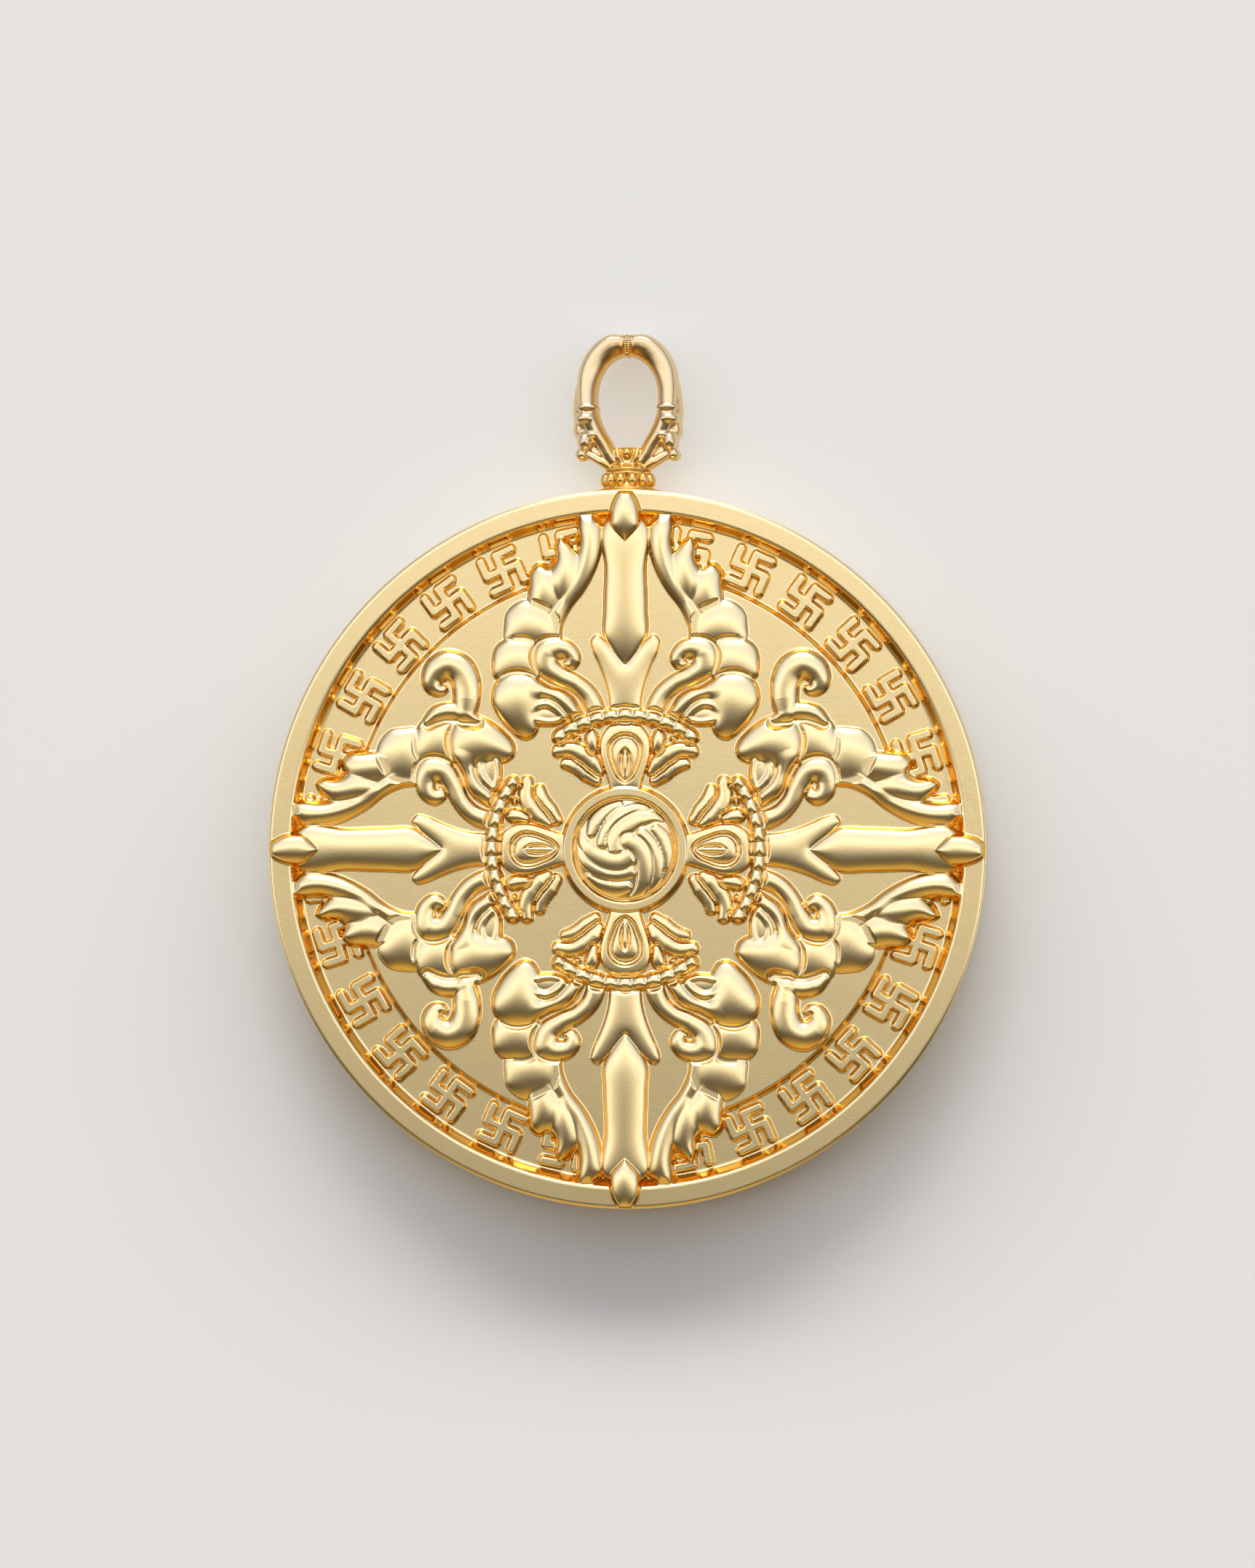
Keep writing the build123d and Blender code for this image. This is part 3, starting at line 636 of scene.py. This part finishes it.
def satin_gold():
    """Gold plating on fine-blasted brass: the blast's 0.05 mm pits spread the light, so slopes glow
    softly. Steep walls, which see only other gold, get a painted deeper orange: painted reflection
    of that gold, added on top of the real bounces between the walls."""
    material, tree = new_material("satin_blasted_gold")
    place = node(tree, "ShaderNodeTexCoord").outputs["Object"]
    pits = noise_bump(tree, place, 14000.0, 2.0, 0.14, 0.00002)
    bump = noise_bump(tree, place, 700.0, 1.0, 0.04, 0.00006, under=pits)
    steep = node(tree, "ShaderNodeAttribute", attribute_name="steep").outputs["Fac"]
    # Deeper orange on steep walls is painted reflection of the surrounding gold, not the plating's own
    # colour
    colour = mixed(tree, steep, "#F7DFA4", "#EFC36C")
    rough = ranged(tree, steep, 0.0, 1.0, 0.3, 0.2)
    shader = node(tree, "ShaderNodeBsdfPrincipled",
                  [(bump, "Normal"), (rough, "Roughness"), (colour, "Base Color")], Metallic=1.0)
    shader.inputs["Specular Tint"].default_value = linear("#FFDC94")
    node(tree, "ShaderNodeOutputMaterial", [(shader.outputs["BSDF"], "Surface")])
    return material


def polished_gold():
    """Gold plating on buffed brass, slightly wavy from the buffing wheel. Inside the eye the gold is
    painted a deeper yellow, a painted reflection of the bail's own gold facing it, and the collar is
    painted the same deeper yellow."""
    material, tree = new_material("polished_cast_gold")
    place = node(tree, "ShaderNodeTexCoord").outputs["Object"]
    bump = noise_bump(tree, place, 900.0, 2.0, 0.4, 0.00005)
    about_eye = node(tree, "ShaderNodeMapping", [(place, "Vector")], Location=(0, -EYE_Y / EYE_HALF_Y, 0),
                     Scale=(1 / EYE_HALF_X / MM, 1 / EYE_HALF_Y / MM, 0))
    reach = node(tree, "ShaderNodeVectorMath", [(about_eye.outputs["Vector"], 0)], operation="LENGTH")
    height = node(tree, "ShaderNodeSeparateXYZ", [(place, "Vector")]).outputs["Y"]
    in_eye = ranged(tree, reach.outputs["Value"], 0.92, 1.08, 1.0, 0.0)
    on_collar = ranged(tree, height, (COLLAR_TOP + 0.2) * MM, (COLLAR_TOP + 0.9) * MM, 1.0, 0.0)
    # Deeper yellow in the eye is painted reflection of the bail's own gold; the collar gets the same
    # painted colour
    colour = mixed(tree, computed(tree, "MAXIMUM", in_eye, on_collar), "#E9CE9C", "#EDC06A")
    shader = node(tree, "ShaderNodeBsdfPrincipled", [(bump, "Normal"), (colour, "Base Color")],
                  Metallic=1.0, Roughness=0.3)
    node(tree, "ShaderNodeOutputMaterial", [(shader.outputs["BSDF"], "Surface")])
    return material


def paper():
    """Pale warm card, quite matt."""
    material, tree = new_material("pale_matt_card")
    shader = node(tree, "ShaderNodeBsdfPrincipled", Roughness=0.95)
    shader.inputs["Base Color"].default_value = linear("#C0BDB3")
    shader.inputs["Specular IOR Level"].default_value = 0.1
    node(tree, "ShaderNodeOutputMaterial", [(shader.outputs["BSDF"], "Surface")])
    return material


def ring_walls(first, rings, steps):
    """Four-sided faces between rings of points, which are numbered from the first on."""
    faces = []
    for low in range(first, first + (rings - 1) * steps, steps):
        for k in range(steps):
            n = (k + 1) % steps
            faces.append([low + k, low + n, low + steps + n, low + steps + k])
    return faces


def lathe(profile, steps):
    """Turned body about z from rows of radius and height, which start and end on the axis."""
    turns = np.arange(steps) * 2 * math.pi / steps
    vertices = [[0, 0, profile[0][1]]]
    for radius, z in profile[1:-1]:
        ring = np.column_stack([radius * np.cos(turns), radius * np.sin(turns), np.full(steps, z)])
        vertices += ring.tolist()
    vertices.append([0, 0, profile[-1][1]])
    top = len(vertices) - 1
    faces = []
    for k in range(steps):
        n = (k + 1) % steps
        faces.append([0, 1 + n, 1 + k])
        faces.append([top, top - steps + k, top - steps + n])
    return np.array(vertices, float), faces + ring_walls(1, len(profile) - 2, steps)


def turned_case(material):
    """Case as a turned cup: flat back, rounded edges, ledge inside and thin lip."""
    edge, lip, gap, side_wall, back_wall = 0.45, 0.05, 0.05, 1.1, 0.8
    arc = [math.radians(angle) for angle in range(0, 91, 15)]
    inner, ledge = DISC_R - LIP_GAP + gap, PLATE_Z - gap
    profile = [(0, 0)]
    profile += [(DISC_R - edge + edge * math.sin(a), edge - edge * math.cos(a)) for a in arc]
    profile += [(DISC_R - lip + lip * math.cos(a), CASE_H - lip + lip * math.sin(a)) for a in arc[::2]]
    profile += [(inner, CASE_H), (inner, ledge), (DISC_R - side_wall, ledge),
                (DISC_R - side_wall, back_wall), (0, back_wall)]
    return mesh_object("turned_case", *lathe(profile, 400), material)


# Bail, right half, in rows of x, y, half width, half depth and how far the crown lies towards the outside:
# the horn, the leaf behind it and the web between the horn's foot and the leaf
HORN = [(0.1, 25.24, 0.46, 0.8, 0.3), (0.35, 25.29, 0.59, 0.95, 0.35), (0.75, 25.27, 0.67, 1.0, 0.32),
        (1.3, 24.92, 0.66, 1.02, 0.25), (1.84, 24.1, 0.62, 1.06, 0.18), (2.02, 23.3, 0.55, 1.1, 0.12),
        (2.03, 22.6, 0.52, 1.15, 0.1), (1.98, 21.95, 0.52, 1.15, 0.1), (1.82, 21.4, 0.52, 1.1, 0.1),
        (1.52, 20.85, 0.46, 1.02, 0.1), (1.2, 20.38, 0.42, 0.95, 0.1), (0.95, 19.9, 0.4, 0.9, 0.1),
        (0.68, 19.4, 0.42, 0.82, 0)]
BACK_LEAF = [(1.9, 23.9, 0.42, 0.5, 0), (2.12, 23.3, 0.5, 0.7, 0), (2.26, 22.6, 0.48, 0.82, 0),
             (2.3, 22.0, 0.48, 0.84, 0), (2.26, 21.5, 0.47, 0.8, 0), (2.27, 21.05, 0.5, 0.78, 0),
             (2.12, 20.7, 0.42, 0.7, 0), (2.1, 20.3, 0.4, 0.6, 0), (1.98, 19.95, 0.32, 0.45, 0)]
WEB = [(2.05, 20.4, 0.34, 0.4, 0), (1.6, 20.0, 0.36, 0.46, 0), (1.15, 19.6, 0.34, 0.5, 0),
       (0.8, 19.3, 0.3, 0.5, 0)]
# Lotus cup at the foot and wedge at the top, on the bail's middle
CALYX = [(0, 19.1, 0.55, 0.8, 0), (0, 19.5, 0.48, 0.82, 0), (0, 19.9, 0.58, 0.86, 0),
         (0, 20.1, 0.62, 0.82, 0), (0, 20.2, 0.56, 0.72, 0)]
KNOB = [(0, 25.86, 0.36, 0.75, 0), (0, 25.7, 0.42, 0.95, 0), (0, 25.45, 0.24, 1.0, 0),
        (0, 25.1, 0.15, 0.95, 0), (0, 24.78, 0.1, 0.8, 0)]
# Lumps on the bail's front and back: centre x, y and height over the middle plane, then three radii
BAIL_LUMPS = [(2.32, 19.87, 0.5, 0.32, 0.31, 0.33), (2.14, 20.52, 0.58, 0.4, 0.54, 0.5),
              (1.76, 20.84, 0.68, 0.46, 0.22, 0.42), (2.08, 21.66, 0.78, 0.56, 0.36, 0.44),
              (2.02, 22.22, 0.88, 0.54, 0.25, 0.34)]
CALYX_LUMPS = [(0, 19.93, 0.72, 0.28, 0.28, 0.3), (0, 19.1, 0.9, 0.24, 0.22, 0.26),
               (0.6, 19.12, 0.78, 0.2, 0.2, 0.24)]
# Round cords on the front and back: x, y, height over the middle plane and radius
STEM = [(2.2, 19.95, 0.4, 0.2), (1.7, 19.74, 0.5, 0.21), (1.3, 19.48, 0.6, 0.2), (0.85, 19.2, 0.6, 0.2)]
PETAL = [(0.53, 20.14, 0.68, 0.12), (0.46, 19.75, 0.84, 0.12), (0.28, 19.4, 0.82, 0.1),
         (0.1, 19.2, 0.8, 0.08)]
# Turned foot of the bail and core of the collar: radius and y
NECK = [(0, 19.01), (1.1, 19.01), (1.2, 19.08), (1.19, 19.16), (1.02, 19.28), (0.82, 19.45), (0.62, 19.66),
        (0, 19.7)]
COLLAR_CORE = [(0, 18.0), (1.35, 18.1), (1.3, 18.2), (1.1, 18.3), (1.1, 18.85), (1.18, 18.95),
               (1.12, COLLAR_TOP), (0, COLLAR_TOP)]
# Ring of beads on the collar: number, radius of the ring, its y, a bead's radius and stretch along y
RING_BEADS, RING_R, RING_Y = 12, 1.135, COLLAR_TOP - 0.43
RING_BEAD_R, RING_BEAD_STRETCH = 0.285, 1.25
# Grains in the wedge between the horns: y and half width of each row
GRAIN_ROWS = [(25.8, 0.3), (25.69, 0.34), (25.58, 0.27), (25.47, 0.16), (25.36, 0.11), (25.25, 0.1),
              (25.14, 0.09), (25.03, 0.08), (24.92, 0.06)]
GRAIN_R, GRAIN_STEP = 0.07, 0.11
# Oval about the eye, inside which the polished gold is painted a deeper yellow as painted reflection of the
# bail's own gold
EYE_Y, EYE_HALF_X, EYE_HALF_Y = 22.45, 1.62, 3.0
FULLNESS = 0.76  # power below 1 that makes a tube's section fuller than an ellipse
MELT_GRID = 0.045


def tube_body(path, across, deep, crown, steps=28):
    """Closed tube along a path, with half widths in the plane of x and y and half depths out of it."""
    ahead = np.gradient(path, axis=0)
    ahead /= np.linalg.norm(ahead, axis=1)[:, None]
    side = np.column_stack([-ahead[:, 1], ahead[:, 0], np.zeros(len(path))])
    side /= np.linalg.norm(side, axis=1)[:, None]
    up = np.cross(side, ahead)
    turn = np.arange(steps) * 2 * math.pi / steps
    u = np.sign(np.cos(turn)) * np.abs(np.cos(turn)) ** FULLNESS
    v = np.sign(np.sin(turn)) * np.abs(np.sin(turn)) ** FULLNESS
    rings = []
    for k in range(len(path)):
        sideways = across[k] * (u + crown[k] * np.abs(v) * (1 - u * u))
        rings.append(path[k] + np.outer(sideways, side[k]) + np.outer(deep[k] * v, up[k]))
    ends = [list(range(steps))[::-1], list(range((len(path) - 1) * steps, len(path) * steps))]
    return np.vstack(rings), ends + ring_walls(0, len(path), steps)


def band_body(rows):
    """Tube of the bail along rows of x, y, half width, half depth and crown."""
    line, across, deep, crown = along_spine(rows)
    return tube_body(np.column_stack([line, np.zeros(len(line))]), across, deep, crown)


def cord_body(rows):
    """Round tube along rows of x, y, z and radius."""
    at = np.linspace(0, len(rows) - 1, 5 * len(rows))
    x, y, z, radius = (np.interp(at, np.arange(len(rows)), column) for column in zip(*rows))
    return tube_body(np.column_stack([x, y, z]), radius, radius, np.zeros(len(at)))


def egg_body(row, steps=20):
    """Ellipsoid from a row of centre and radii."""
    arc = [math.pi * k / steps for k in range(1, steps)]
    vertices, faces = lathe([(0, -1)] + [(math.sin(a), -math.cos(a)) for a in arc] + [(0, 1)], 2 * steps)
    return vertices * np.array(row[3:]) + np.array(row[:3]), faces


def turned_to_y(body):
    """Body about z laid over so that its axis runs along y, at the bail's middle height."""
    vertices, faces = body
    return np.column_stack([vertices[:, 0], vertices[:, 2], BAIL_Z - vertices[:, 1]]), faces


def on_all_sides(body, left=True, back=True):
    """A body, lifted to the bail's middle height, and its copies at the left and the back of the bail. A
    mirrored copy's faces are turned round, so that they still look outwards."""
    vertices, faces = body
    copies = []
    for flip_x in (1, -1) if left else (1,):
        for flip_z in (1, -1) if back else (1,):
            outwards = faces if flip_x * flip_z > 0 else [face[::-1] for face in faces]
            copies.append((vertices * np.array([flip_x, 1, flip_z]) + np.array([0, 0, BAIL_Z]), outwards))
    return copies


def joined(bodies):
    """Bodies of vertices and faces as one."""
    vertices, faces, first = [], [], 0
    for body_vertices, body_faces in bodies:
        vertices.append(body_vertices)
        faces += [[first + i for i in face] for face in body_faces]
        first += len(body_vertices)
    return np.vstack(vertices), faces


def plain_mesh(piece):
    """Turns a piece's modifiers into its mesh."""
    evaluated = piece.evaluated_get(bpy.context.evaluated_depsgraph_get())
    mesh = bpy.data.meshes.new_from_object(evaluated)
    piece.modifiers.clear()
    piece.data = mesh
    return mesh


def cast_bail(material):
    """Bail as one casting: its tubes and lumps melted together on a fine grid and smoothed."""
    bodies = [turned_to_y(lathe(NECK, 48))]
    for rows in (HORN, BACK_LEAF, WEB):
        bodies += on_all_sides(band_body(rows), back=False)
    for rows in (CALYX, KNOB):
        bodies += on_all_sides(band_body(rows), left=False, back=False)
    for row in BAIL_LUMPS:
        bodies += on_all_sides(egg_body(row))
    for row in CALYX_LUMPS:
        bodies += on_all_sides(egg_body(row), left=row[0] > 0)
    for rows in (STEM, PETAL):
        bodies += on_all_sides(cord_body(rows))
    vertices, faces = joined(bodies)
    # The grid can't be as fine as this in metres, so the mesh is melted a thousand times larger
    piece = mesh_object("cast_bail", vertices / MM, faces, material)
    melt = piece.modifiers.new("melt", "REMESH")
    melt.mode = "VOXEL"
    melt.voxel_size = MELT_GRID
    melt.use_smooth_shade = True
    soften = piece.modifiers.new("soften", "SMOOTH")
    soften.factor = 0.5
    soften.iterations = 7
    mesh = plain_mesh(piece)
    mesh.transform(Matrix.Scale(MM, 4))
    mesh.materials.clear()
    mesh.materials.append(material)
    return piece


def bead_tree():
    """Geometry nodes: a ball on every point, at a random share of its size from Smallest up to 1."""
    tree = bpy.data.node_groups.new("balls_on_points", "GeometryNodeTree")
    tree.interface.new_socket("Geometry", in_out="INPUT", socket_type="NodeSocketGeometry")
    kinds = {"Radius": "Float", "Stretch": "Vector", "Smallest": "Float", "Seed": "Int",
             "Finish": "Material"}
    for name, kind in kinds.items():
        tree.interface.new_socket(name, in_out="INPUT", socket_type="NodeSocket" + kind)
    tree.interface.new_socket("Geometry", in_out="OUTPUT", socket_type="NodeSocketGeometry")
    given = node(tree, "NodeGroupInput").outputs
    points = node(tree, "GeometryNodeMeshToPoints", [(given["Geometry"], "Mesh")])
    ball = node(tree, "GeometryNodeMeshIcoSphere", [(given["Radius"], "Radius")], Subdivisions=3)
    egg = node(tree, "GeometryNodeTransform",
               [(ball.outputs["Mesh"], "Geometry"), (given["Stretch"], "Scale")])
    # Several sockets have the same name, so the ones for a number are reached by their place
    low_in, high_in, number_out = 2, 3, 1
    size = node(tree, "FunctionNodeRandomValue", [(given["Smallest"], low_in), (given["Seed"], "Seed")])
    size.inputs[high_in].default_value = 1.0
    placed = node(tree, "GeometryNodeInstanceOnPoints",
                  [(points.outputs["Points"], "Points"), (egg.outputs["Geometry"], "Instance"),
                   (size.outputs[number_out], "Scale")])
    real = node(tree, "GeometryNodeRealizeInstances", [(placed.outputs["Instances"], "Geometry")])
    smooth = node(tree, "GeometryNodeSetShadeSmooth", [(real.outputs["Geometry"], "Geometry")])
    finish = node(tree, "GeometryNodeSetMaterial",
                  [(smooth.outputs["Geometry"], "Geometry"), (given["Finish"], "Material")])
    node(tree, "NodeGroupOutput", [(finish.outputs["Geometry"], "Geometry")])
    return tree


def beads(name, tree, points, material, radius, stretch=(1, 1, 1), smallest=1.0):
    """Piece of balls at points in mm, made by the geometry nodes and turned into a plain mesh."""
    piece = mesh_object(name, points, [], material)
    modifier = piece.modifiers.new("balls", "NODES")
    modifier.node_group = tree
    values = {"Radius": radius * MM, "Stretch": stretch, "Smallest": smallest, "Seed": 1,
              "Finish": material}
    for item in tree.interface.items_tree:
        if item.in_out == "INPUT" and item.name in values:
            modifier[item.identifier] = values[item.name]
    plain_mesh(piece)
    return piece


def knob_grains(tree, material):
    """Fine grains on the front and back of the wedge between the horns."""
    points = []
    for y, half in GRAIN_ROWS:
        count = max(2, round(2 * half / GRAIN_STEP))
        for x in np.linspace(-half, half, count):
            depth = 0.98 - 0.5 * abs(x) - 0.3 * max(y - 25.6, 0)
            points += [(x, y, BAIL_Z - depth), (x, y, BAIL_Z + depth)]
    return beads("knob_grains", tree, points, material, GRAIN_R, smallest=0.75)


def collar_beads(tree, material):
    """Ring of upright egg-shaped beads about the collar."""
    turns = [math.radians(15) + 2 * math.pi * k / RING_BEADS for k in range(RING_BEADS)]
    points = [(RING_R * math.sin(turn), RING_Y, BAIL_Z + RING_R * math.cos(turn)) for turn in turns]
    return beads("collar_beads", tree, points, material, RING_BEAD_R, stretch=(1, RING_BEAD_STRETCH, 1))


def saddle_body():
    """Thin flange that follows the case's side, oval and rounded off to its edge."""
    half_x, half_z, rings, steps = 1.98, 1.56, 8, 64
    gap, edge_thick, crown_thick = 0.04, 0.02, 0.13
    turns = np.arange(steps) * 2 * math.pi / steps
    vertices = []
    for outside in (0, 1):
        for k in range(rings + 1):
            share = math.sin(math.pi / 2 * k / rings)
            x = half_x * share * np.cos(turns)
            z = BAIL_Z + half_z * share * np.sin(turns)
            thick = outside * (edge_thick + crown_thick * math.sqrt(max(1 - share**2, 0)))
            vertices += np.column_stack([x, np.sqrt((DISC_R + gap) ** 2 - x * x) + thick, z]).tolist()
    count = (rings + 1) * steps
    under = ring_walls(0, rings + 1, steps)
    faces = under + [[count + i for i in reversed(face)] for face in under]
    edge = rings * steps
    for k in range(steps):
        n = (k + 1) % steps
        faces.append([edge + k, edge + n, count + edge + n, count + edge + k])
    return np.array(vertices), faces


def collar_saddle(material):
    """Flange and turned core of the collar."""
    core = turned_to_y(lathe(COLLAR_CORE, 96))
    return mesh_object("collar_saddle", *joined([saddle_body(), core]), material)


def area_light(name, place, size, power, colour="#FFFFFF"):
    """Oblong lamp at a place in mm that looks at the disc."""
    light = bpy.data.lights.new(name, "AREA")
    light.shape = "RECTANGLE"
    light.size, light.size_y = size[0] * MM, size[1] * MM
    light.energy = power
    light.color = linear(colour)[:3]
    lamp = bpy.data.objects.new(name, light)
    lamp.location = Vector(place) * MM
    lamp.rotation_euler = (Vector((0, 0, 0)) - Vector(place)).to_track_quat("-Z", "Y").to_euler()
    bpy.context.scene.collection.objects.link(lamp)
    return lamp


def card_floor():
    """Pale card far wider than the view."""
    half = 3000
    corners = [(-half, -half, 0), (half, -half, 0), (half, half, 0), (-half, half, 0)]
    return mesh_object("floor", corners, [(0, 1, 2, 3)], paper(), smooth=False)


def room_light():
    """Soft light all round, by how far a direction leans to the bail's side or sideways. Just past upright
    it is brightest, and lower down a little dimmer and cooler. The other side is dark and warm, but for
    some light from low down."""
    world = bpy.data.worlds.new("studio")
    bpy.context.scene.world = world
    world.use_nodes = True
    tree = world.node_tree
    tree.nodes.clear()
    place = node(tree, "ShaderNodeTexCoord")
    part = node(tree, "ShaderNodeSeparateXYZ", [(place.outputs["Generated"], "Vector")]).outputs
    sideways = computed(tree, "ABSOLUTE", computed(tree, "ADD", part["X"], 0.1))
    lean = computed(tree, "MULTIPLY_ADD", sideways, 0.45, part["Y"])
    rise = ranged(tree, lean, -0.01, 0.16, 0.0, 2.15)
    fall = ranged(tree, lean, 0.18, 0.45, 1.0, 0.68)
    bounce = ranged(tree, lean, -0.85, -0.25, 0.9, 0.0)
    height = ranged(tree, part["Z"], 0.1, 0.75, 0.2, 1.0)
    glow = computed(tree, "MULTIPLY_ADD", computed(tree, "MULTIPLY", rise, fall), height, bounce)
    warm = mixed(tree, ranged(tree, lean, -0.06, 0.18, 1.0, 0.0), "#FBFBFC", "#E6C06C")
    colour = mixed(tree, ranged(tree, lean, 0.16, 0.42, 0.0, 1.0), warm, "#D6DFFF")
    background = node(tree, "ShaderNodeBackground", [(glow, "Strength"), (colour, "Color")])
    node(tree, "ShaderNodeOutputWorld", [(background.outputs["Background"], "Surface")])


def lamps(floor, disc_pieces):
    """Key light from beyond the bail, and a light on the floor alone. Only the disc throws shadows in both,
    so the bail's thin one stays out of the picture, as in the photograph."""
    key = area_light("key", (-60, 2076, 1200), (1140, 660), 25.2, "#EEF1FC")
    floor_light = area_light("floor_light", (0, 2170, 1030), (8300, 660), 190)
    lit = bpy.data.collections.new("lit_by_floor_light")
    lit.objects.link(floor)
    floor_light.light_linking.receiver_collection = lit
    disc = bpy.data.collections.new("shading_the_floor")
    for piece in disc_pieces:
        disc.objects.link(piece)
    floor_light.light_linking.blocker_collection = disc
    key.light_linking.blocker_collection = disc


def photo_camera():
    """Camera of the photograph: almost straight above, a little to the right."""
    distance, tilt, frame_height = 230.0, math.radians(4.5), 78.5
    aim = Vector((0.09, 3.27, 3.6))
    lens = bpy.data.cameras.new("camera")
    lens.sensor_width = 36
    lens.lens = lens.sensor_width * distance / frame_height
    lens.clip_start = 0.01
    lens.clip_end = 20
    camera = bpy.data.objects.new("camera", lens)
    camera.location = (aim + distance * Vector((math.sin(tilt), 0, math.cos(tilt)))) * MM
    camera.rotation_euler = (0, tilt, 0)
    bpy.context.scene.collection.objects.link(camera)
    bpy.context.scene.camera = camera


bpy.context.scene.view_settings.view_transform = "Standard"
satin, polished = satin_gold(), polished_gold()
disc_pieces = []
for name, top in zip(("face_top", "face_left", "face_bottom", "face_right"), wedge_tops()):
    wedge = face_wedge(name, *top, satin)
    disc_pieces.append(wedge)
    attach(wedge, "root")
    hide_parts("face_plate")
case = turned_case(satin)
disc_pieces.append(case)
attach(case, "root")
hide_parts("case")

ball_tree = bead_tree()
bail_pieces = [(cast_bail(polished), "bail"), (knob_grains(ball_tree, polished), "bail"),
               (collar_beads(ball_tree, polished), "bail_collar"), (collar_saddle(polished), "bail_collar")]
for piece, name in bail_pieces:
    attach(piece, "root")
    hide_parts(name)

floor = card_floor()
room_light()
lamps(floor, disc_pieces)
photo_camera()
